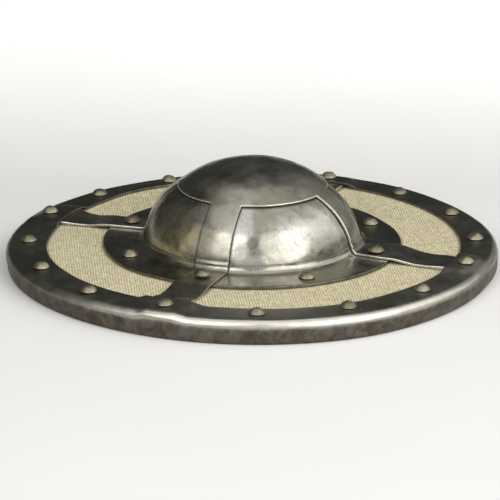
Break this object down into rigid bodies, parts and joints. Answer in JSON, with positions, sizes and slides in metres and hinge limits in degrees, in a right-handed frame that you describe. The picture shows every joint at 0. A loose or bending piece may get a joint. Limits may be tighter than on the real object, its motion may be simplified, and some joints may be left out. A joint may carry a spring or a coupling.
{
  "type": "buckler shield",
  "caption": "Round canvas-faced wooden buckler with a rolled steel rim, a domed boss under a riveted steel cross whose arms run out under the rim, and a grip behind the boss.",
  "frame": {"origin": "middle of the shield's back, on the plane that the rim's lip lies on", "axes": "+Z out of the shield's face along the boss's axis, X and Y along the arms of the cross, Y also along the grip"},
  "size_m": [0.36, 0.36, 0.0791],
  "materials": {
    "satin_steel": "satin polish over hammered sheet, scratched, with faint brown patina",
    "rivet_steel": "dull forged heads, slightly warm",
    "linen": "coarse unbleached plain weave, glued down",
    "bare_wood": "planed and lightly oiled",
    "oiled_wood": "hand-worn, dark oiled"
  },
  "bodies": {
    "root": {"board": "bare_wood", "canvas_facing": "linen", "boss": "satin_steel", "cross": "satin_steel", "rim_band": "satin_steel", "grip": "oiled_wood", "rim_rivet_01": "rivet_steel", "rim_rivet_02": "rivet_steel", "rim_rivet_03": "rivet_steel", "rim_rivet_04": "rivet_steel", "rim_rivet_05": "rivet_steel", "rim_rivet_06": "rivet_steel", "rim_rivet_07": "rivet_steel", "rim_rivet_08": "rivet_steel", "rim_rivet_09": "rivet_steel", "rim_rivet_10": "rivet_steel", "rim_rivet_11": "rivet_steel", "rim_rivet_12": "rivet_steel", "rim_rivet_13": "rivet_steel", "rim_rivet_14": "rivet_steel", "rim_rivet_15": "rivet_steel", "rim_rivet_16": "rivet_steel", "boss_rivet_01": "rivet_steel", "boss_rivet_02": "rivet_steel", "boss_rivet_03": "rivet_steel", "boss_rivet_04": "rivet_steel", "boss_rivet_05": "rivet_steel", "boss_rivet_06": "rivet_steel", "boss_rivet_07": "rivet_steel", "boss_rivet_08": "rivet_steel"}
  },
  "joints": []
}
